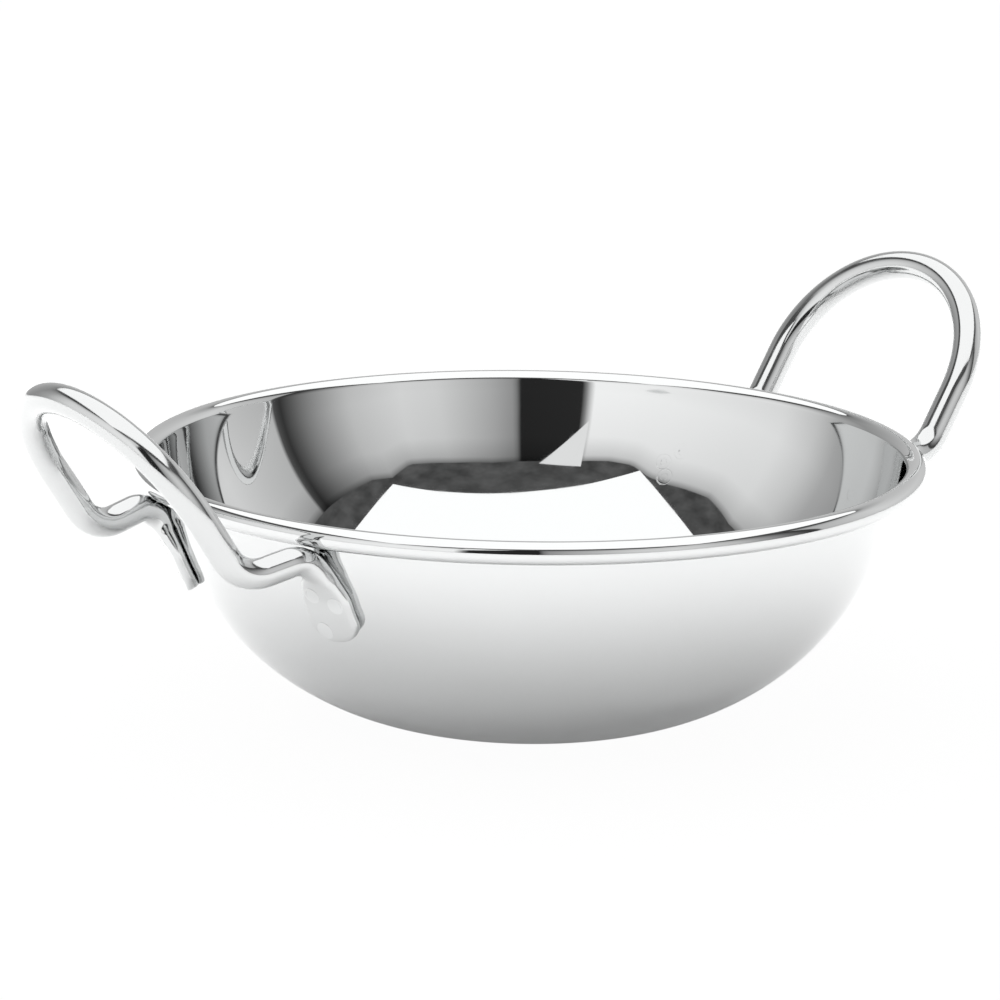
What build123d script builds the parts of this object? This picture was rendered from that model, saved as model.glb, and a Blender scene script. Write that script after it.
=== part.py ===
from build123d import *
import math
import os

# A kadai: a round-bottomed serving bowl pressed from stainless steel sheet, with two upright
# loop handles of steel rod, pressed flat at the ends and spot-welded under the rolled rim.
# Lengths are in millimetres and angles in degrees. The origin is the middle of the bowl's
# flat base, +Z is up, and the handles stand at the two ends of the X axis.

# The bowl, one disc of sheet
rim_diameter = 160.0
bowl_height = 53.8
base_flat_diameter = 38.0
sheet_thickness = 1.0
wall_lean = 10.5
lower_arc_share = 0.583

# The roll that stiffens the rim: the edge of the same sheet, curled out and down
roll_diameter = 4.6
roll_gap = 0.3

# The handle rod
rod_diameter = 6.0

# The handle loop: a half circle on two straight limbs, leaning out over the table
grip_half_width = 25.2
limb_length = 15.3
grip_lean = 34.6

# Each limb ends in a knee, a short run back in under the rim, and a neck down to the foot
knee_radius = 8.6
knee_reach = 15.7
knee_drop = 3.5
neck_length = 5.9

# The foot, where the rod is pressed flat to lie on the wall. Its top and tip lie at shares of
# the bowl's height below the rim, so that they stay on the wall of a deeper or flatter bowl.
foot_top_spacing = 52.4
foot_tip_spacing = 50.8
foot_top_drop_share = 0.2045
foot_tip_drop_share = 0.4312
foot_thickness = 2.8
foot_corner_radius = 3.6
foot_seat_depth = 0.25

# How the rod goes from round to flat: share of the way from the foot's thickness to the
# rod's diameter, at even steps round the neck and then at shares of the foot's height, the
# last of them past the tip
neck_roundness_shares = (1.0, 1.0, 1.0, 0.82)
foot_height_shares = (0.0, 0.3, 0.6, 0.9, 1.2)
foot_roundness_shares = (0.36, 0.03, 0.0, 0.0, 0.0)
round_end_turn = 45
pressed_end_turn = 86

# Both handles sit this far round towards +Y of the bowl's middle line
handle_set_round = 2.8

# The spot welds, three under each foot: places across and up from the foot's middle
nugget_diameter = 2.4
nugget_depth_in_wall = 0.35
nugget_depth_in_foot = 0.4
left_weld_places = ((-2.1, 3.5), (2.6, 1.5), (-2.1, -3.9))
right_weld_places = ((2.6, 0.0), (1.5, -2.9), (-0.6, 2.4))

# The pressed rod is trimmed to the tip and its round corners, well past its sides and end
trim_width_share = 1.02
trim_reach = 6.0

# Values worked out from the sizes above
rim_radius = rim_diameter / 2
base_radius = base_flat_diameter / 2
roll_radius = roll_diameter / 2
roll_inner_radius = roll_radius - sheet_thickness
roll_centre_radius = rim_radius - roll_radius
roll_centre_height = bowl_height - roll_radius
rod_radius = rod_diameter / 2
rod_area = math.pi * rod_radius**2


def sind(angle):
    return math.sin(math.radians(angle))


def cosd(angle):
    return math.cos(math.radians(angle))


# The outer face of the wall is two arcs that meet smoothly: they start level at the edge of
# the flat base and end at the wall's lean where the roll begins.
wall_end_turn = 90 - wall_lean
lower_turn = lower_arc_share * wall_end_turn
wall_end_radius = roll_centre_radius - roll_inner_radius * cosd(wall_lean)
wall_end_height = roll_centre_height + roll_inner_radius * sind(wall_lean)


def wall_arc_radii():
    """The two radii for which the wall starts at the base and ends at the roll."""
    across = wall_end_radius - base_radius
    lower_across, upper_across = sind(lower_turn), sind(wall_end_turn) - sind(lower_turn)
    lower_up, upper_up = 1 - cosd(lower_turn), cosd(lower_turn) - cosd(wall_end_turn)
    scale = lower_across * upper_up - upper_across * lower_up
    lower = (across * upper_up - wall_end_height * upper_across) / scale
    upper = (wall_end_height * lower_across - across * lower_up) / scale
    return lower, upper


lower_arc_radius, upper_arc_radius = wall_arc_radii()
lower_arc_centre = (base_radius, lower_arc_radius)
upper_arc_centre = (
    base_radius + (lower_arc_radius - upper_arc_radius) * sind(lower_turn),
    lower_arc_radius - (lower_arc_radius - upper_arc_radius) * cosd(lower_turn),
)


def wall_point(turn, depth=0):
    """A point of the wall in the X-Z plane, where the wall has turned by an angle from level.
    Depth is measured into the sheet from its outer face."""
    lower = turn <= lower_turn
    centre = lower_arc_centre if lower else upper_arc_centre
    radius = (lower_arc_radius if lower else upper_arc_radius) - depth
    return Vector(centre[0] + radius * sind(turn), 0, centre[1] - radius * cosd(turn))


def wall_turn_at(height):
    """How far the outer face has turned from level at a height above the table."""
    junction = wall_point(lower_turn).Z
    if height <= junction:
        return math.degrees(math.acos(1 - height / lower_arc_radius))
    return math.degrees(math.acos((upper_arc_centre[1] - height) / upper_arc_radius))


def wall_arc(start_turn, end_turn, depth):
    middle_turn = (start_turn + end_turn) / 2
    # the junction belongs to both arcs, so the upper arc starts where the lower one ends
    return ThreePointArc(
        wall_point(start_turn, depth), wall_point(middle_turn, depth), wall_point(end_turn, depth)
    )


def roll_point(angle, radius):
    return Vector(
        roll_centre_radius + radius * cosd(angle), 0, roll_centre_height + radius * sind(angle)
    )


def make_bowl():
    """The sheet's section, turned once round the Z axis."""
    roll_start = 90 + wall_end_turn
    roll_turn = 360 - math.degrees(math.acos((roll_inner_radius - roll_gap) / roll_radius))
    roll_middle, roll_end = roll_start - roll_turn / 2, roll_start - roll_turn
    outer_face = [
        Line((0, 0, 0), wall_point(0)),
        wall_arc(0, lower_turn, 0),
        wall_arc(lower_turn, wall_end_turn, 0),
        ThreePointArc(
            roll_point(roll_start, roll_inner_radius),
            roll_point(roll_middle, roll_inner_radius),
            roll_point(roll_end, roll_inner_radius),
        ),
    ]
    edge = Line(roll_point(roll_end, roll_inner_radius), roll_point(roll_end, roll_radius))
    inner_face = [
        ThreePointArc(
            roll_point(roll_end, roll_radius),
            roll_point(roll_middle, roll_radius),
            roll_point(roll_start, roll_radius),
        ),
        wall_arc(wall_end_turn, lower_turn, sheet_thickness),
        wall_arc(lower_turn, 0, sheet_thickness),
        Line(wall_point(0, sheet_thickness), (0, 0, sheet_thickness)),
        Line((0, 0, sheet_thickness), (0, 0, 0)),
    ]
    section = make_face(Wire(outer_face + [edge] + inner_face))
    return revolve(section, Axis.Z, 360)


def make_bowl_core():
    """Everything inside the outer face of the wall, up to the roll."""
    section = make_face(Wire([
        Line((0, 0, 0), wall_point(0)),
        wall_arc(0, lower_turn, 0),
        wall_arc(lower_turn, wall_end_turn, 0),
        Line(wall_point(wall_end_turn), (0, 0, wall_end_height)),
        Line((0, 0, wall_end_height), (0, 0, 0)),
    ]))
    return revolve(section, Axis.Z, 360)


# The wall under a handle is described in the handle's own frame: X points out along the
# handle's middle line, Y runs along the rim, and a foot stands on either side.
def seat_frame(height, sideways):
    """The point of the wall's outer face at a height and a distance beside the handle's
    middle line, with the directions out of the wall and level along it."""
    turn = wall_turn_at(height)
    radius = wall_point(turn).X
    round_angle = math.degrees(math.asin(sideways / radius))
    point = Vector(radius * cosd(round_angle), sideways, height)
    out = Vector(sind(turn) * cosd(round_angle), sind(turn) * sind(round_angle), -cosd(turn))
    return point, out, Vector(-sind(round_angle), cosd(round_angle), 0)


def foot_thickness_at(roundness):
    return foot_thickness + (rod_diameter - foot_thickness) * roundness


def half_width_of(thickness):
    """Half the width of the rod pressed to a thickness. Pressing keeps its sectional area."""
    radius = thickness / 2
    return radius + (rod_area - math.pi * radius**2) / (2 * thickness)


def squeezed_section(plane, roundness):
    """The rod's outline, round or pressed, as two side arcs and two end arcs that meet
    smoothly."""
    thickness = foot_thickness_at(roundness)
    half_height = thickness / 2
    half_width = half_width_of(thickness)
    # the end arcs close up from quarter circles to nearly half circles
    end_turn = pressed_end_turn + (round_end_turn - pressed_end_turn) * roundness**2
    offset = (half_width - half_height) / (1 + math.tan(math.radians(end_turn)) - 1 / cosd(end_turn))
    side_offset = offset * math.tan(math.radians(end_turn))
    end_radius = half_width - offset
    side_radius = half_height + side_offset
    corner_x, corner_y = offset + end_radius * cosd(end_turn), end_radius * sind(end_turn)
    corners = [(corner_x, -corner_y), (corner_x, corner_y), (-corner_x, corner_y), (-corner_x, -corner_y)]
    middles = [
        (offset + end_radius, 0),
        (0, side_radius - side_offset),
        (-offset - end_radius, 0),
        (0, side_offset - side_radius),
    ]
    arcs = []
    for index, middle in enumerate(middles):
        ends = corners[index], corners[(index + 1) % len(corners)]
        points = [plane.from_local_coords(point) for point in (ends[0], middle, ends[1])]
        arcs.append(Edge.make_three_point_arc(*points))
    return Wire(arcs)


class CornerArc:
    """The arc that rounds the corner between two straight runs."""

    def __init__(self, before, corner, after, tangent_length):
        self.way_in = (corner - before).normalized()
        self.way_out = (after - corner).normalized()
        self.turn = self.way_in.get_angle(self.way_out)
        self.radius = tangent_length / math.tan(math.radians(self.turn / 2))
        self.start = corner - self.way_in * tangent_length
        self.end = corner + self.way_out * tangent_length
        inward = (self.way_out - self.way_in).normalized()
        self.centre = corner + inward * (self.radius / cosd(self.turn / 2))

    def at(self, share):
        """The point, heading and direction to the centre at a share of the way round."""
        angle = self.turn * share
        to_start = (self.start - self.centre).normalized()
        spoke = to_start * cosd(angle) + self.way_in * sind(angle)
        heading = self.way_in * cosd(angle) - to_start * sind(angle)
        return self.centre + spoke * self.radius, heading, spoke * -1


# The limb on the +Y side, from its foot up to the loop
foot_top_height = bowl_height * (1 - foot_top_drop_share)
foot_tip_height = bowl_height * (1 - foot_tip_drop_share)
foot_top_side = foot_top_spacing / 2
foot_tip_side = foot_tip_spacing / 2


def foot_station(share):
    """The point of the wall at a share of the foot's height, counted down from its top, with
    the directions out of the wall and along the foot to its tip."""
    height_step, side_step = foot_tip_height - foot_top_height, foot_tip_side - foot_top_side
    point, out, level = seat_frame(
        foot_top_height + height_step * share, foot_top_side + side_step * share
    )
    fall = level.cross(out)
    fall_step = height_step / fall.Z
    level_step = (side_step - fall.Y * fall_step) / level.Y
    return point, out, (fall * fall_step + level * level_step).normalized()


def make_limb():
    """The corners and arcs of the limb's centre line."""
    seat, out, to_tip = foot_station(0)
    top_thickness = foot_thickness_at(foot_roundness_shares[0])
    foot_top = seat + out * (top_thickness / 2 - foot_seat_depth)
    neck_corner = foot_top - to_tip * neck_length
    knee = Vector(neck_corner.X + knee_reach, grip_half_width, neck_corner.Z - knee_drop)
    up_grip = Vector(sind(grip_lean), 0, cosd(grip_lean))
    spring = knee + up_grip * limb_length
    neck = CornerArc(knee, neck_corner, foot_top, neck_length)
    turn = (knee - spring).get_angle(neck_corner - knee)
    room = (neck_corner - knee).length - neck_length
    knee_tangent = min(knee_radius * math.tan(math.radians(turn / 2)), room, limb_length)
    bend = CornerArc(spring, knee, neck_corner, knee_tangent)
    crown = Vector(spring.X, 0, spring.Z) + up_grip * grip_half_width
    return neck, bend, spring, crown


def mirrored(point):
    return Vector(point.X, -point.Y, point.Z)


def make_loop(neck, bend, spring, crown):
    """The round rod along the handle's centre line, from one neck over the top to the other."""
    edges = [
        Line(neck.start, bend.end),
        ThreePointArc(bend.end, bend.at(0.5)[0], bend.start),
        Line(bend.start, spring),
        ThreePointArc(spring, crown, mirrored(spring)),
        Line(mirrored(spring), mirrored(bend.start)),
        ThreePointArc(mirrored(bend.start), mirrored(bend.at(0.5)[0]), mirrored(bend.end)),
        Line(mirrored(bend.end), mirrored(neck.start)),
    ]
    start = Plane(origin=neck.start, z_dir=neck.way_in * -1)
    return sweep(start * Circle(rod_radius), path=Wire(edges))


def make_foot_skin(neck):
    """The neck and foot as one smooth skin, from the round rod to past the flat tip."""
    sections = []
    steps = len(neck_roundness_shares)
    seat, wall_out, to_tip = foot_station(0)
    for index, roundness in enumerate(neck_roundness_shares):
        share = index / steps
        point, heading, to_centre = neck.at(share)
        out = to_centre * (1 - share) + wall_out * share
        plane = Plane(origin=point, x_dir=heading.cross(out), z_dir=heading)
        sections.append(squeezed_section(plane, roundness))
    for share, roundness in zip(foot_height_shares, foot_roundness_shares):
        seat, out, to_tip = foot_station(share)
        point = seat + out * (foot_thickness_at(roundness) / 2 - foot_seat_depth)
        plane = Plane(origin=point, x_dir=to_tip.cross(out), z_dir=to_tip)
        sections.append(squeezed_section(plane, roundness))
    return Solid.make_loft(sections)


def make_tip_cutter():
    """What is trimmed off the pressed rod to end the foot with two rounded corners."""
    seat, out, to_tip = foot_station(1)
    foot_width = 2 * half_width_of(foot_thickness)
    trim_width = foot_width * trim_width_share
    plane = Plane(origin=seat, x_dir=to_tip.cross(out), z_dir=out)
    keep = RectangleRounded(trim_width, 3 * foot_corner_radius, foot_corner_radius)
    keep = Pos(0, -1.5 * foot_corner_radius) * keep
    blank_height = foot_corner_radius + trim_reach
    blank = Pos(0, blank_height / 2 - foot_corner_radius) * Rectangle(2 * foot_width, blank_height)
    return extrude(plane * (blank - keep), 2 * foot_thickness, both=True)


def make_nuggets(places, side):
    """The weld metal under one foot, half in the sheet and half in the back of the foot."""
    middle = (foot_top_height + foot_tip_height) / 2
    middle_side = (foot_top_side + foot_tip_side) / 2
    nuggets = []
    for across, up in places:
        seat, out, level = seat_frame(middle + up, side * (middle_side + across))
        plane = Plane(origin=seat - out * nugget_depth_in_wall, x_dir=level, z_dir=out)
        depth = nugget_depth_in_wall + nugget_depth_in_foot
        nuggets.append(extrude(plane * Circle(nugget_diameter / 2), depth))
    return nuggets


def make_pressed_foot(neck):
    """The +Y foot, trimmed at its tip and hollowed behind to lie on the wall."""
    return make_foot_skin(neck) - make_tip_cutter() - make_bowl_core()


def turned(shape, angle):
    return Rot(0, 0, angle) * shape


os.makedirs("parts", exist_ok=True)
bowl = make_bowl()
limb = make_limb()
loop = make_loop(*limb)
front_or_back = {1: make_pressed_foot(limb[0])}
front_or_back[-1] = mirror(front_or_back[1], Plane.XZ)
handles = {
    "left": (180 - handle_set_round, left_weld_places, {1: "front", -1: "back"}),
    "right": (handle_set_round, right_weld_places, {1: "back", -1: "front"}),
}
for name, (angle, places, sides) in handles.items():
    handle = loop
    for side, side_name in sides.items():
        nuggets = make_nuggets(places, side)
        foot = front_or_back[side]
        for nugget in nuggets:
            foot = foot - nugget
            bowl = bowl - turned(nugget, angle)
        handle = handle + foot
        welds = Compound([turned(nugget, angle) for nugget in nuggets])
        export_step(welds, f"parts/{name}_{side_name}_welds.step")
    export_step(turned(handle, angle), f"parts/{name}_handle.step")
export_step(bowl, "parts/bowl.step")
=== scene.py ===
import math

import bmesh
import bpy
import numpy as np
from mathutils import Matrix


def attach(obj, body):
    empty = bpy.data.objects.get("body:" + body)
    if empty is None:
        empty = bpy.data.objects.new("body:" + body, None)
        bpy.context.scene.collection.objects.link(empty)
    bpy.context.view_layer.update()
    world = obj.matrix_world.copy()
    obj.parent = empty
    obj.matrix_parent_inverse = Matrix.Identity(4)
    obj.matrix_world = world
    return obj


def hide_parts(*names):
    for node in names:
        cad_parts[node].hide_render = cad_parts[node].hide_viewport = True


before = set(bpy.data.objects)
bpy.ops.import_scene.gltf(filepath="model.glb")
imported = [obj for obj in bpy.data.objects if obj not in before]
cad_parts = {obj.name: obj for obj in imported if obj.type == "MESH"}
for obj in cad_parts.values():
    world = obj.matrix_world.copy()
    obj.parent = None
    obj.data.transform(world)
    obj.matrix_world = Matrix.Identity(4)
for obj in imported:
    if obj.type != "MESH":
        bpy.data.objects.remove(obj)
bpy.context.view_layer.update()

# The bowl: one disc of 1 mm stainless steel sheet, pressed to a round bottom with a small flat
# to stand on. Its edge is curled out and down into a hollow roll, and the whole is polished to a
# mirror. Sizes are in millimetres and angles in degrees.
MM = 0.001
RIM_RADIUS, BOWL_HEIGHT = 80.0, 53.8
BASE_RADIUS, SHEET = 19.0, 1.0
ROLL_RADIUS, ROLL_GAP = 2.3, 0.3
LOWER_TURN, WALL_TURN = 46.35, 79.5
BOWL_SEGMENTS, WALL_STEPS = 360, 48
FLAT_MIDDLE, FLAT_STEPS = 1.0, 9
ROLL_INSIDE_STEPS, ROLL_OUTSIDE_STEPS = 64, 96
# edges that turn by more than this stay crisp
SHARP_TURN = math.radians(50)

roll_bore = ROLL_RADIUS - SHEET
roll_centre = np.array([RIM_RADIUS - ROLL_RADIUS, BOWL_HEIGHT - ROLL_RADIUS])


def sin_cos(degrees):
    """Sine and cosine as the two numbers of an array, or as its last axis."""
    radians = np.radians(degrees)
    return np.stack([np.sin(radians), np.cos(radians)], axis=-1)


def arc(centre, radius, start, end, steps):
    """Points (out from the axis, up) of an arc; the angle is how far the curve has turned up."""
    turns = sin_cos(np.linspace(start, end, steps))
    return centre + radius * turns * [1, -1]


# The wall's outer face is two arcs that meet smoothly between the flat base and the roll.
lower_sin, lower_cos = sin_cos(LOWER_TURN)
wall_sin, wall_cos = sin_cos(WALL_TURN)
wall_end = roll_centre - roll_bore * np.array([wall_sin, -wall_cos])
lower_radius, upper_radius = np.linalg.solve(
    [[lower_sin, wall_sin - lower_sin], [1 - lower_cos, lower_cos - wall_cos]],
    wall_end - [BASE_RADIUS, 0],
)
lower_centre = np.array([BASE_RADIUS, lower_radius])
upper_centre = lower_centre + (lower_radius - upper_radius) * np.array([lower_sin, -lower_cos])


def wall_arcs(depth):
    """The wall's section at a depth into the sheet, from the base to the roll."""
    lower = arc(lower_centre, lower_radius - depth, 0, LOWER_TURN, WALL_STEPS)
    upper = arc(upper_centre, upper_radius - depth, LOWER_TURN, WALL_TURN, WALL_STEPS)
    return np.vstack([lower, upper[1:]])


def sheet_section():
    """The sheet's whole outline: out under the base, up the wall, round the roll and back."""
    roll_start = 180 + WALL_TURN
    roll_turn = 360 - math.degrees(math.acos((roll_bore - ROLL_GAP) / ROLL_RADIUS))
    roll_end = roll_start - roll_turn
    roll_inside = arc(roll_centre, roll_bore, roll_start, roll_end, ROLL_INSIDE_STEPS)
    roll_outside = arc(roll_centre, ROLL_RADIUS, roll_end, roll_start, ROLL_OUTSIDE_STEPS)
    flat = np.linspace(FLAT_MIDDLE, BASE_RADIUS, FLAT_STEPS, endpoint=False)
    under = np.stack([flat, np.zeros_like(flat)], axis=1)
    over = np.stack([flat[::-1], np.full_like(flat, SHEET)], axis=1)
    outer, inner = wall_arcs(0), wall_arcs(SHEET)[::-1]
    return np.vstack([under, outer, roll_inside[1:], roll_outside, inner[1:], over])


def skin_rings(name, rings, start_point, end_point):
    """A smooth closed mesh through rings of points, with one point closing each end."""
    rings = np.asarray(rings)
    count, around = rings.shape[:2]
    points = np.vstack([rings.reshape(-1, 3), [start_point, end_point]]) * MM
    here = np.arange(around)
    after = (here + 1) % around
    strips = []
    for ring in range(count - 1):
        low, high = ring * around, (ring + 1) * around
        strips.append(np.stack([low + here, low + after, high + after, high + here], axis=1))
    top = (count - 1) * around
    start_fan = np.stack([after, here, np.full(around, count * around)], axis=1)
    end_fan = np.stack([top + here, top + after, np.full(around, count * around + 1)], axis=1)
    faces = np.vstack(strips).tolist() + start_fan.tolist() + end_fan.tolist()
    mesh = bpy.data.meshes.new(name)
    mesh.from_pydata(points.tolist(), [], faces)
    work = bmesh.new()
    work.from_mesh(mesh)
    bmesh.ops.recalc_face_normals(work, faces=work.faces)
    work.to_mesh(mesh)
    work.free()
    mesh.shade_smooth()
    piece = bpy.data.objects.new(name, mesh)
    bpy.context.scene.collection.objects.link(piece)
    return piece


def spin(section, segments):
    """One ring of points round the Z axis for each point of a section."""
    rounds = sin_cos(np.linspace(0, 360, segments, endpoint=False))
    rings = np.empty((len(section), segments, 3))
    rings[:, :, 0] = section[:, :1] * rounds[:, 1]
    rings[:, :, 1] = section[:, :1] * rounds[:, 0]
    rings[:, :, 2] = section[:, 1:]
    return rings


def srgb(hex_colour):
    """A hex colour as Blender's linear red, green, blue and alpha."""
    parts = [int(hex_colour[place:place + 2], 16) / 255 for place in (1, 3, 5)]
    linear = [p / 12.92 if p <= 0.04045 else ((p + 0.055) / 1.055) ** 2.4 for p in parts]
    return (*linear, 1.0)


def add_node(tree, kind, settings, inputs):
    """Adds a node. Settings go on the node itself; an input takes a plain value or a link."""
    node = tree.nodes.new(kind)
    for name, value in settings.items():
        setattr(node, name, value)
    for name, value in inputs.items():
        if isinstance(value, bpy.types.NodeSocket):
            tree.links.new(value, node.inputs[name])
        else:
            node.inputs[name].default_value = value
    return node


def empty_material(name):
    material = bpy.data.materials.new(name)
    material.use_nodes = True
    material.node_tree.nodes.clear()
    return material, material.node_tree


SMEAR_LENGTH = 6


def polished_steel(name, colour, wave_length, wave_height, haze):
    """Stainless steel polished to a mirror. The eye gets sharp reflections that swim a little,
    because the metal under the polish isn't quite even, and a faint haze from the buffing."""
    material, tree = empty_material(name)
    place = add_node(tree, "ShaderNodeTexCoord", {}, {}).outputs["Object"]
    waves = add_node(tree, "ShaderNodeTexNoise", {}, {
        "Vector": place, "Scale": 1 / (wave_length * MM), "Detail": 1.0, "Roughness": 0.4,
    })
    bump = add_node(tree, "ShaderNodeBump", {}, {
        "Height": waves.outputs["Fac"], "Distance": wave_height * MM, "Strength": 1.0,
    })
    smears = add_node(tree, "ShaderNodeTexNoise", {}, {
        "Vector": place, "Scale": 1 / (SMEAR_LENGTH * MM), "Detail": 3.0, "Roughness": 0.6,
    })
    roughness = add_node(tree, "ShaderNodeMapRange", {}, {
        "Value": smears.outputs["Fac"], "From Min": 0.35, "From Max": 0.7,
        "To Min": haze * 0.5, "To Max": haze * 1.5,
    })
    steel = add_node(tree, "ShaderNodeBsdfPrincipled", {}, {
        "Base Color": srgb(colour), "Metallic": 1.0, "Normal": bump.outputs["Normal"],
        "Roughness": roughness.outputs["Result"],
    })
    add_node(tree, "ShaderNodeOutputMaterial", {}, {"Surface": steel.outputs["BSDF"]})
    return material


bowl = skin_rings("polished_bowl", spin(sheet_section(), BOWL_SEGMENTS), (0, 0, 0), (0, 0, SHEET))
bowl.data.set_sharp_from_angle(angle=SHARP_TURN)
bowl_steel = polished_steel("mirror_polished_sheet", "#D4D5D5", 14, 0.02, 0.03)
bowl.data.materials.append(bowl_steel)

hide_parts("bowl")
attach(bowl, "root")

# The handles: each is one length of 6 mm stainless rod, bent to a half circle on two limbs with
# a knee under each, and pressed flat at both ends to lie on the wall. They are shaped here with
# the handle's own middle line along +X, and then turned to their places.
ROD_RADIUS = 3.0
GRIP_HALF_WIDTH, LIMB_LENGTH, GRIP_LEAN = 25.2, 15.3, 34.6
KNEE_RADIUS, KNEE_REACH, KNEE_DROP, NECK_LENGTH = 8.6, 15.7, 3.5, 5.9
FOOT_TOP = np.array([26.2, BOWL_HEIGHT * (1 - 0.2045)])
FOOT_TIP = np.array([25.4, BOWL_HEIGHT * (1 - 0.4312)])
FOOT_THICKNESS, FOOT_CORNER, FOOT_SINK = 2.8, 3.6, 0.25
HANDLE_SET_ROUND = 2.8
# how far round the end arcs of the rod's outline go, where it is pressed flat and where round
PRESSED_END_TURN, ROUND_END_TURN = 86, 45
# how round the rod still is: down the foot from its top, and out along the neck from there,
# both with what comes just before
FOOT_SHARES = np.array([-0.25, 0.0, 0.3, 0.6, 1.0])
FOOT_ROUNDNESS = np.array([0.82, 0.36, 0.03, 0.0, 0.0])
NECK_SHARES = np.array([-0.5, 0.0, 0.25, 0.5, 0.75, 1.0])
NECK_ROUNDNESS = np.array([0.03, 0.36, 0.82, 1.0, 1.0, 1.0])
# how finely each stretch of the rod is drawn
ROD_SEGMENTS, TIP_STEPS, FOOT_STEPS, NECK_STEPS, KNEE_STEPS, LOOP_STEPS = 64, 16, 26, 28, 24, 40


def unit(vector):
    return vector / np.linalg.norm(vector)


def wall_seat(height, sideways):
    """The wall's outer face beside the handle's middle line: the point and the way out of it."""
    upper = height > lower_centre[1] - lower_radius * lower_cos
    centre, radius = (upper_centre, upper_radius) if upper else (lower_centre, lower_radius)
    turn_cos = (centre[1] - height) / radius
    turn_sin = math.sqrt(1 - turn_cos**2)
    reach = centre[0] + radius * turn_sin
    round_sin = sideways / reach
    round_cos = math.sqrt(1 - round_sin**2)
    out = np.array([turn_sin * round_cos, turn_sin * round_sin, -turn_cos])
    return np.array([reach * round_cos, sideways, height]), out


def foot_seat(share):
    """The wall's point and way out at a share of the foot's height, and the way to the tip."""
    sideways, height = FOOT_TOP + (FOOT_TIP - FOOT_TOP) * share
    point, out = wall_seat(height, sideways)
    step = (FOOT_TIP - FOOT_TOP) / 100
    onward, _ = wall_seat(height + step[1], sideways + step[0])
    to_tip = onward - point
    return point, out, unit(to_tip - out * (to_tip @ out))


def thickness_at(roundness):
    return FOOT_THICKNESS + (2 * ROD_RADIUS - FOOT_THICKNESS) * roundness


def half_width_of(half_height):
    """Half the width of the rod pressed to a thickness. Pressing keeps its sectional area."""
    return half_height + math.pi * (ROD_RADIUS**2 - half_height**2) / (4 * half_height)


def corner_arc(before, corner, after, tangent, steps):
    """The points and headings of the arc that rounds a corner, and the first way to its centre."""
    way_in, way_out = unit(corner - before), unit(after - corner)
    turn = math.acos(way_in @ way_out)
    radius = tangent / math.tan(turn / 2)
    start = corner - way_in * tangent
    inward = unit(way_out - way_in * (way_in @ way_out))
    angles = np.linspace(0, turn, steps)[:, None]
    points = start + radius * (np.sin(angles) * way_in + (1 - np.cos(angles)) * inward)
    headings = np.cos(angles) * way_in + np.sin(angles) * inward
    return points, headings, inward


def outline_arcs(roundness):
    """The pressed rod's outline is two side arcs and two end arcs that meet smoothly: how far
    round the end arcs go, and for either kind its centre's offset and its radius."""
    half_height = thickness_at(roundness) / 2
    half_width = half_width_of(half_height)
    end_turn = PRESSED_END_TURN + (ROUND_END_TURN - PRESSED_END_TURN) * roundness**2
    end_turn = math.radians(end_turn)
    spread = 1 + math.tan(end_turn) - 1 / math.cos(end_turn)
    offset = (half_width - half_height) / spread
    side_offset = offset * math.tan(end_turn)
    return end_turn, offset, half_width - offset, side_offset, half_height + side_offset


def squeezed_outline(roundness, width_share):
    """The rod's outline, round or pressed, as points."""
    end_turn, offset, end_radius, side_offset, side_radius = outline_arcs(roundness)
    angles = np.linspace(0, 2 * math.pi, ROD_SEGMENTS, endpoint=False)
    # equal shares of the points go to each quarter of the outline, by its turn
    quarter = np.mod(angles, math.pi)
    folded = np.minimum(quarter, math.pi - quarter)
    on_end = folded <= end_turn
    x = np.where(on_end, offset + end_radius * np.cos(folded), side_radius * np.cos(folded))
    y = np.where(on_end, end_radius * np.sin(folded), side_radius * np.sin(folded) - side_offset)
    x = x * np.where(np.cos(angles) < 0, -1, 1) * width_share
    y = y * np.where(np.sin(angles) < 0, -1, 1)
    return np.stack([x, y], axis=1)


def smooth_steps(places, values, at):
    """Values read off a smooth curve through the given ones."""
    slopes = np.gradient(values, places)
    slopes[[0, -1]] = 0
    index = np.clip(np.searchsorted(places, at) - 1, 0, len(places) - 2)
    gap = places[index + 1] - places[index]
    t = np.clip((at - places[index]) / gap, 0, 1)
    start, end = values[index], values[index + 1]
    blend = t * t * (3 - 2 * t)
    bow = t * (1 - t) * gap * (slopes[index] * (1 - t) - slopes[index + 1] * t)
    return start + (end - start) * blend + bow


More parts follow.
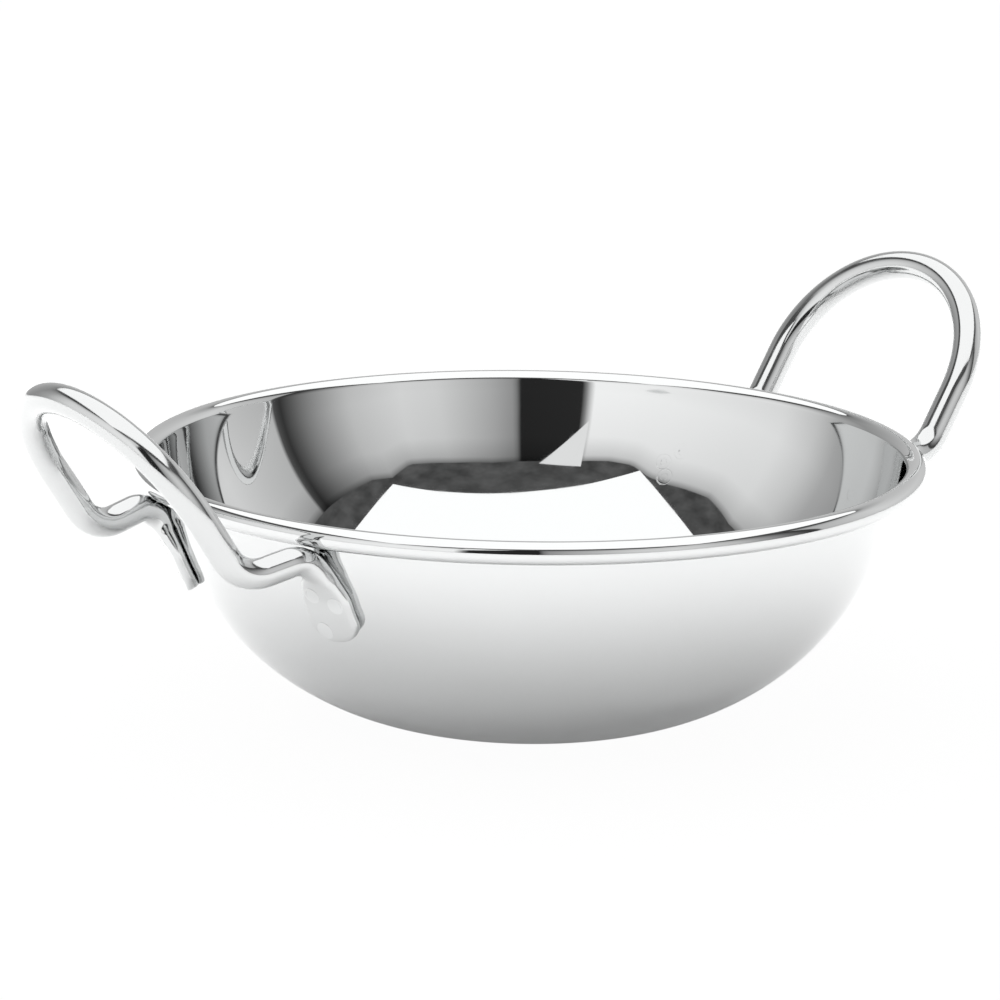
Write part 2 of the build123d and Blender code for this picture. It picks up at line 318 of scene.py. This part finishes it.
def limb_stations():
    """From the foot's tip to the top of the loop: centre, heading, way out, roundness, width."""
    stations = []
    seat, out, to_tip = foot_seat(0)
    foot_top = seat + out * (thickness_at(NECK_ROUNDNESS[1]) / 2 - FOOT_SINK)
    neck_corner = foot_top - to_tip * NECK_LENGTH
    knee = np.array([neck_corner[0] + KNEE_REACH, GRIP_HALF_WIDTH, neck_corner[2] - KNEE_DROP])
    lean_sin, lean_cos = sin_cos(GRIP_LEAN)
    up_grip = np.array([lean_sin, 0, lean_cos])
    spring = knee + up_grip * LIMB_LENGTH

    # the foot, from its trimmed tip up to where the neck begins
    foot_height = np.linalg.norm(foot_seat(0)[0] - foot_seat(1)[0])
    half_width = half_width_of(FOOT_THICKNESS / 2)
    corner_rise = FOOT_CORNER * (1 - np.cos(np.linspace(0, math.pi / 2, TIP_STEPS)))
    plain_steps = np.linspace(foot_height - FOOT_CORNER, 0, FOOT_STEPS)[1:]
    foot_steps = np.concatenate([foot_height - corner_rise, plain_steps])
    shares = foot_steps / foot_height
    foot_roundness = smooth_steps(FOOT_SHARES, FOOT_ROUNDNESS, shares)
    for step, share, roundness in zip(foot_steps, shares, foot_roundness):
        seat, wall_out, to_tip = foot_seat(share)
        centre = seat + wall_out * (thickness_at(roundness) / 2 - FOOT_SINK)
        into_corner = max(0.0, FOOT_CORNER - (foot_height - step))
        narrowed = FOOT_CORNER - math.sqrt(FOOT_CORNER**2 - into_corner**2)
        stations.append((centre, -to_tip, wall_out, roundness, 1 - narrowed / half_width))

    # the neck, where the rod grows round again
    points, headings, inward = corner_arc(foot_top, neck_corner, knee, NECK_LENGTH, NECK_STEPS)
    shares = np.linspace(0, 1, NECK_STEPS)
    neck_roundness = smooth_steps(NECK_SHARES, NECK_ROUNDNESS, shares)
    neck = list(zip(points, headings, shares, neck_roundness))
    for point, heading, share, roundness in neck[1:]:
        to_centre = unit(inward - heading * (heading @ inward))
        lean_out = unit(to_centre * share + out * (1 - share))
        stations.append((point, heading, lean_out, roundness, 1))

    # the short run, the knee, the limb and a quarter of the loop, all round rod
    run = neck_corner - knee
    turn = math.acos(-up_grip @ unit(run))
    knee_tangent = min(KNEE_RADIUS * math.tan(turn / 2), np.linalg.norm(run) - NECK_LENGTH)
    bend, bend_headings, _ = corner_arc(neck_corner, knee, spring, knee_tangent, KNEE_STEPS)
    quarter = sin_cos(np.linspace(0, 90, LOOP_STEPS))
    loop_centre = spring * [1, 0, 1]
    side = np.array([0, GRIP_HALF_WIDTH, 0])
    loop = loop_centre + quarter[:, 1:] * side + quarter[:, :1] * up_grip * GRIP_HALF_WIDTH
    loop_headings = quarter[:, 1:] * up_grip - quarter[:, :1] * [0, 1, 0]
    round_points = np.vstack([bend, loop])
    round_headings = np.vstack([bend_headings, loop_headings])
    last_out = stations[-1][2]
    for point, heading in zip(round_points, round_headings):
        last_out = unit(last_out - heading * (heading @ last_out))
        stations.append((point, heading, last_out, 1, 1))
    return stations


def off_the_wall(points):
    """Moves what lies inside the wall's outer face onto it, as a pressed foot takes its curve."""
    flat = np.stack([np.hypot(points[:, 0], points[:, 1]), points[:, 2]], axis=1)
    from_upper = flat - upper_centre
    upper = from_upper[:, 0] * lower_cos > -from_upper[:, 1] * lower_sin
    away = np.where(upper[:, None], from_upper, flat - lower_centre)
    reach = np.linalg.norm(away, axis=1)
    short = np.maximum(np.where(upper, upper_radius, lower_radius) - reach, 0)
    short = np.where(flat[:, 1] < wall_end[1], short, 0)
    push = away / reach[:, None] * short[:, None]
    round_way = points[:, :2] / flat[:, :1]
    return points + np.column_stack([push[:, :1] * round_way, push[:, 1]])


def turn_round(points, degrees):
    """Points turned round the bowl's axis."""
    turn_sin, turn_cos = sin_cos(degrees)
    return points @ np.array([[turn_cos, turn_sin, 0], [-turn_sin, turn_cos, 0], [0, 0, 1]])


def shape_handle(name, turned_round):
    """The rod's skin from one foot's tip over the loop to the other's, turned to its place."""
    half = []
    for centre, heading, out, roundness, width_share in limb_stations():
        outline = squeezed_outline(roundness, width_share)
        across = np.cross(heading, out)
        ring = centre + outline[:, :1] * across + outline[:, 1:] * out
        half.append(off_the_wall(ring))
    other_half = [ring * [1, -1, 1] for ring in half[-2::-1]]
    rings = turn_round(np.array(half + other_half), turned_round)
    return skin_rings(name, rings, rings[0].mean(axis=0), rings[-1].mean(axis=0))


rod_steel = polished_steel("mirror_polished_rod", "#CCCDCD", 7, 0.012, 0.11)
for side, turned_round in (("left", 180 - HANDLE_SET_ROUND), ("right", HANDLE_SET_ROUND)):
    handle = shape_handle(f"polished_{side}_handle", turned_round)
    handle.data.set_sharp_from_angle(angle=SHARP_TURN)
    handle.data.materials.append(rod_steel)
    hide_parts(f"{side}_handle")
    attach(handle, "root")

# The spot welds: three under each foot. The nuggets lie hidden between the sheet and the foot;
# what shows is the ring that the welding tips press into the polished faces, one inside the
# bowl and one on the foot.
WELD_RADIUS, WELD_RING, WELD_DEPTH = 1.7, 1.1, 0.021
GROOVE_WIDTH, LIP_WIDTH, LIP_REACH = 0.2, 0.15, 0.4
LIP_HEIGHT_SHARE, MARK_RISE, MARK_SINK = 0.3, 0.004, 0.3
MARK_MIDDLE, MARK_RINGS, MARK_POINTS = 0.08, 36, 40
# places of the three welds under a foot, across and up from the foot's middle
WELD_PLACES = {
    "left": ((-2.1, 3.5), (2.6, 1.5), (-2.1, -3.9)),
    "right": ((2.6, 0.0), (1.5, -2.9), (-0.6, 2.4)),
}


def ring_relief(reach):
    """How far a mark stands out of the face round it: a pressed ring and a slightly raised lip."""
    groove = math.exp(-(((reach - WELD_RING) / GROOVE_WIDTH) ** 2))
    lip = math.exp(-(((reach - WELD_RING - LIP_REACH) / LIP_WIDTH) ** 2))
    rise = MARK_RISE * (1 - (reach / WELD_RADIUS) ** 2)
    return rise + WELD_DEPTH * (LIP_HEIGHT_SHARE * lip - groove)


def foot_face(across, share, relief):
    """A point of the foot's outer face, beside its middle line and at a share of its height."""
    seat, out, to_tip = foot_seat(share)
    roundness = smooth_steps(FOOT_SHARES, FOOT_ROUNDNESS, np.array([share]))[0]
    _, _, _, side_offset, side_radius = outline_arcs(roundness)
    rise = thickness_at(roundness) / 2 - FOOT_SINK
    rise += math.sqrt(side_radius**2 - across**2) - side_offset + relief
    return seat + np.cross(out, to_tip) * across + out * rise


def wall_face(across, share, relief):
    """A point of the wall's inner face behind the same place of the foot."""
    sideways, height = FOOT_TOP + (FOOT_TIP - FOOT_TOP) * share + [across, 0]
    seat, out = wall_seat(height, sideways)
    return seat - out * (SHEET + relief)


def weld_mark(face, across, up, turned_round, sign):
    """Rings of points of one mark, from its middle out and then down into the metal."""
    reaches = np.linspace(MARK_MIDDLE, WELD_RADIUS, MARK_RINGS)
    reliefs = [ring_relief(reach) for reach in reaches]
    rings = []
    for reach, relief in zip([*reaches, WELD_RADIUS], [*reliefs, -MARK_SINK]):
        ring = []
        for round_sin, round_cos in sin_cos(np.linspace(0, 360, MARK_POINTS, endpoint=False)):
            share = 0.5 - (up + reach * round_sin) / (FOOT_TOP[1] - FOOT_TIP[1])
            ring.append(face(across + reach * round_cos, share, relief) * [1, sign, 1])
        rings.append(ring)
    return turn_round(np.array(rings), turned_round)


def join_pieces(name, pieces):
    """One object that holds the meshes of several."""
    work = bmesh.new()
    for piece in pieces:
        work.from_mesh(piece.data)
        bpy.data.objects.remove(piece)
    mesh = bpy.data.meshes.new(name)
    work.to_mesh(mesh)
    work.free()
    mesh.shade_smooth()
    joined = bpy.data.objects.new(name, mesh)
    bpy.context.scene.collection.objects.link(joined)
    return joined


for handle_side, turned_round, foot_sides in (
    ("left", 180 - HANDLE_SET_ROUND, {"front": 1, "back": -1}),
    ("right", HANDLE_SET_ROUND, {"front": -1, "back": 1}),
):
    for foot_side, sign in foot_sides.items():
        marks = []
        for across, up in WELD_PLACES[handle_side]:
            for face in (wall_face, foot_face):
                rings = weld_mark(face, across, up, turned_round, sign)
                ends = rings[0].mean(axis=0), rings[-1].mean(axis=0)
                marks.append(skin_rings("mark", rings, *ends))
        welds = join_pieces(f"{handle_side}_{foot_side}_weld_marks", marks)
        welds.data.set_sharp_from_angle(angle=SHARP_TURN)
        welds.data.materials.append(bowl_steel)
        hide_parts(f"{handle_side}_{foot_side}_welds")
        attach(welds, "root")

# The floor: a pale matt sweep that the bowl stands on. It is white to the camera and keeps a
# faint shadow, and the steel sees it with the full shade under the bowl.
STUDIO_TURN = -40.1
FLOOR_REACH = 9
# share of plain white that the camera sees, and how much the floor glows in the steel
SEEN_WHITE, BOUNCED_GLOW = 0.97, 0.14


def studio_mesh(name, corners, faces):
    """A mesh placed in the studio's frame: X to the camera's right, Y away from it, in metres."""
    mesh = bpy.data.meshes.new(name)
    mesh.from_pydata(corners, [], faces)
    piece = bpy.data.objects.new(name, mesh)
    piece.rotation_euler.z = math.radians(STUDIO_TURN)
    bpy.context.scene.collection.objects.link(piece)
    return piece


def square_corners(reach, height):
    """The corners of a level square, anticlockwise from above."""
    return [(x * reach, y * reach, height) for x, y in ((-1, -1), (1, -1), (1, 1), (-1, 1))]


floor_material, tree = empty_material("pale_matt_sweep")
rays = add_node(tree, "ShaderNodeLightPath", {}, {}).outputs
lit = add_node(tree, "ShaderNodeBsdfDiffuse", {}, {"Color": srgb("#F0F0F0")})
white = add_node(tree, "ShaderNodeEmission", {}, {"Color": srgb("#FFFFFF"), "Strength": 1.0})
seen_white = add_node(tree, "ShaderNodeMath", {"operation": "MULTIPLY"}, {
    0: rays["Is Camera Ray"], 1: SEEN_WHITE,
})
seen = add_node(tree, "ShaderNodeMixShader", {}, {
    "Fac": seen_white.outputs[0], 1: lit.outputs[0], 2: white.outputs[0],
})
bounced_light = add_node(tree, "ShaderNodeMath", {"operation": "MULTIPLY"}, {
    0: rays["Is Glossy Ray"], 1: BOUNCED_GLOW,
})
bounced = add_node(tree, "ShaderNodeEmission", {}, {
    "Color": srgb("#FFFFFF"), "Strength": bounced_light.outputs[0],
})
both = add_node(tree, "ShaderNodeAddShader", {}, {0: seen.outputs[0], 1: bounced.outputs[0]})
add_node(tree, "ShaderNodeOutputMaterial", {}, {"Surface": both.outputs[0]})
floor = studio_mesh("floor", square_corners(FLOOR_REACH, 0), [(0, 1, 2, 3)])
floor.data.materials.append(floor_material)

# The tent: white cloth walls with a softbox for a roof and a slit for the camera. Its panels
# show only in the polished steel, where they draw the light and dark shapes.
TENT_RADIUS, TENT_STEPS, TENT_GLOW = 3.0, 180, 1.5
SOFTBOX_HEIGHT, CEILING_HEIGHT, CEILING_REACH = 3.0, 4.2, 12

# shade of the cloth round the tent, by degrees from the camera's right
WALL_SHADES = [
    (0, "#B4B4B4"), (12, "#BEBEBE"), (30, "#CFCFCF"), (140, "#8E8E8E"), (156, "#A4A4A4"),
    (168, "#C6C6C6"), (182, "#DCDCDC"), (236, "#EEEEEE"), (249, "#F0F0F0"), (252.5, "#282828"),
    (273.5, "#242424"), (274.5, "#8C8C8C"), (282, "#A6A6A6"), (300, "#CCCCCC"), (312, "#D2D2D2"),
    (330, "#BCBCBC"), (340, "#969696"), (351, "#5A5A5A"), (356, "#303030"), (359, "#505050"),
    (360, "#B4B4B4"),
]
# how high the cloth hangs round the tent: degrees from the camera's right, degrees up
WALL_TOPS = [
    (0, 36.5), (150, 36.5), (180, 38.4), (196, 36.6), (206, 37.4), (214, 38.3), (223, 38.0),
    (231, 35.6), (240, 35.7), (247, 36.6), (255, 38.0), (284, 38.5), (299, 37.1), (307, 36.0),
    (315, 35.0), (324, 37.6), (332, 36.1), (345, 36.4), (360, 36.5),
]
# the softbox's corners in the studio's frame
SOFTBOX_CORNERS = [(-2.75, -3.0), (3.0, -2.1), (2.88, 4.0), (-2.8, 4.0)]
# the flap that hangs into the slit: degrees round and degrees up of its corners
FLAP_CORNERS = [(250, 23), (250, 39), (266, 39)]
FLAP_RADIUS = TENT_RADIUS * 0.99
# how the cloth darkens towards its top edge, by share of its height
TOP_SHADES = [(0, "#F4F4F4"), (0.3, "#FFFFFF"), (0.72, "#F6F6F6"), (0.93, "#D4D4D4"), (1, "#8C8C8C")]


def ramp(tree, along, stops):
    """Colours along a socket; each stop is a share of the way and a colour."""
    node = add_node(tree, "ShaderNodeValToRGB", {}, {"Fac": along})
    elements = node.color_ramp.elements
    for index, (share, colour) in enumerate(stops):
        stop = elements[index] if index < 2 else elements.new(share)
        stop.position = share
        stop.color = srgb(colour)
    return node.outputs["Color"]


def glow_out(tree, colour):
    light = add_node(tree, "ShaderNodeEmission", {}, {"Color": colour, "Strength": TENT_GLOW})
    add_node(tree, "ShaderNodeOutputMaterial", {}, {"Surface": light.outputs[0]})


def only_in_steel(panel):
    """The panel shows in reflections and nowhere else, and casts no light or shadow."""
    panel.visible_camera = False
    panel.visible_diffuse = False
    panel.visible_shadow = False
    panel.visible_transmission = False
    panel.visible_volume_scatter = False


wall_cloth, tree = empty_material("backlit_white_cloth")
place = add_node(tree, "ShaderNodeTexCoord", {}, {}).outputs["UV"]
split = add_node(tree, "ShaderNodeSeparateXYZ", {}, {"Vector": place})
shaded = add_node(tree, "ShaderNodeMix", {"data_type": "RGBA", "blend_type": "MULTIPLY"}, {
    "Factor": 1.0,
})
round_shade = ramp(tree, split.outputs["X"], [(turn / 360, shade) for turn, shade in WALL_SHADES])
tree.links.new(round_shade, shaded.inputs[6])
tree.links.new(ramp(tree, split.outputs["Y"], TOP_SHADES), shaded.inputs[7])
glow_out(tree, shaded.outputs[2])


def tent_point(radius, turn, lift):
    """A point of the tent by its degrees from the camera's right and its degrees up."""
    turn_sin, turn_cos = sin_cos(turn)
    return radius * turn_cos, radius * turn_sin, radius * math.tan(math.radians(lift))


turns = np.linspace(0, 360, TENT_STEPS + 1)
tops = np.interp(turns, *zip(*WALL_TOPS))
corners = [
    tent_point(TENT_RADIUS, turn, lift) for turn, top in zip(turns, tops) for lift in (0, top)
]
faces = [(2 * n, 2 * n + 2, 2 * n + 3, 2 * n + 1) for n in range(TENT_STEPS)]
tent_wall = studio_mesh("tent_wall", corners, faces)
shares = tent_wall.data.uv_layers.new(name="shares")
for loop in tent_wall.data.loops:
    step, lifted = divmod(loop.vertex_index, 2)
    shares.data[loop.index].uv = (step / TENT_STEPS, lifted)
tent_wall.data.materials.append(wall_cloth)
only_in_steel(tent_wall)

flap_cloth, tree = empty_material("flap_cloth")
glow_out(tree, srgb("#DCDCDC"))
flap = studio_mesh(
    "flap", [tent_point(FLAP_RADIUS, turn, lift) for turn, lift in FLAP_CORNERS], [(0, 1, 2)]
)
flap.data.materials.append(flap_cloth)
only_in_steel(flap)

softbox_cloth, tree = empty_material("softbox_cloth")
glow_out(tree, srgb("#FFFFFF"))
softbox = studio_mesh(
    "softbox", [(x, y, SOFTBOX_HEIGHT) for x, y in SOFTBOX_CORNERS], [(3, 2, 1, 0)]
)
softbox.data.materials.append(softbox_cloth)
only_in_steel(softbox)

# the ceiling above the tent, dark and uneven: a dimly glowing panel whose uneven glow is the dark
# reflection overhead in the steel
ceiling_glow, tree = empty_material("dark_ceiling")
place = add_node(tree, "ShaderNodeTexCoord", {}, {}).outputs["Object"]
patches = add_node(tree, "ShaderNodeTexNoise", {}, {"Vector": place, "Scale": 1.6, "Detail": 2.0})
glow_out(tree, ramp(tree, patches.outputs["Fac"], [(0.3, "#3C3C3C"), (0.7, "#565656")]))
ceiling = studio_mesh("ceiling", square_corners(CEILING_REACH, CEILING_HEIGHT), [(3, 2, 1, 0)])
ceiling.data.materials.append(ceiling_glow)
only_in_steel(ceiling)

# The light: an even pale room and one wide soft lamp overhead, which gives the floor its shadow.
# Matt surfaces take only a part of the room's light, so that the lamp's shadow shows.
LAMP_SIZE, LAMP_POWER, LAMP_PLACE = 3.0, 58, (-0.2, 0.5, 1.4)
ROOM_ON_MATT = 0.35
world = bpy.data.worlds.new("pale_room")
bpy.context.scene.world = world
world.use_nodes = True
tree = world.node_tree
tree.nodes.clear()
rays = add_node(tree, "ShaderNodeLightPath", {}, {}).outputs
strength = add_node(tree, "ShaderNodeMapRange", {}, {
    "Value": rays["Is Diffuse Ray"], "To Min": 1.0, "To Max": ROOM_ON_MATT,
})
room = add_node(tree, "ShaderNodeBackground", {}, {
    "Color": srgb("#FFFFFF"), "Strength": strength.outputs["Result"],
})
add_node(tree, "ShaderNodeOutputWorld", {}, {"Surface": room.outputs[0]})

lamp_data = bpy.data.lights.new("overhead_lamp", "AREA")
lamp_data.shape = "SQUARE"
lamp_data.size = LAMP_SIZE
lamp_data.energy = LAMP_POWER
lamp = bpy.data.objects.new("overhead_lamp", lamp_data)
lamp.location = LAMP_PLACE
lamp.visible_glossy = False
bpy.context.scene.collection.objects.link(lamp)

# The camera: a long lens, 13 degrees above the table and in line with the studio. Its place
# fits the outlines of the rim, the wall and both handles.
CAMERA_LIFT, CAMERA_ROLL, CAMERA_DISTANCE = 13.191, 0.735, 1300.0
CAMERA_SHIFT = (5.659, -13.308)
LOOK_HEIGHT, SENSOR_WIDTH, FOCAL_SHARE = 30.0, 36.0, 6.4413

lift_sin, lift_cos = sin_cos(CAMERA_LIFT)
roll_sin, roll_cos = sin_cos(CAMERA_ROLL)
backward = np.array([0, -lift_cos, lift_sin])
level_right, level_up = np.array([1, 0, 0]), np.array([0, lift_sin, lift_cos])
right = roll_cos * level_right + roll_sin * level_up
up = roll_cos * level_up - roll_sin * level_right
stand = backward * CAMERA_DISTANCE + [0, 0, LOOK_HEIGHT]
stand = (stand - right * CAMERA_SHIFT[0] - up * CAMERA_SHIFT[1]) * MM
camera_data = bpy.data.cameras.new("camera")
camera_data.sensor_width = SENSOR_WIDTH
camera_data.lens = SENSOR_WIDTH * FOCAL_SHARE
camera = bpy.data.objects.new("camera", camera_data)
bpy.context.scene.collection.objects.link(camera)
placed = Matrix(np.column_stack([right, up, backward, stand]).tolist() + [[0, 0, 0, 1]])
camera.matrix_world = Matrix.Rotation(math.radians(STUDIO_TURN), 4, "Z") @ placed
bpy.context.scene.camera = camera
bpy.context.scene.view_settings.view_transform = "Standard"
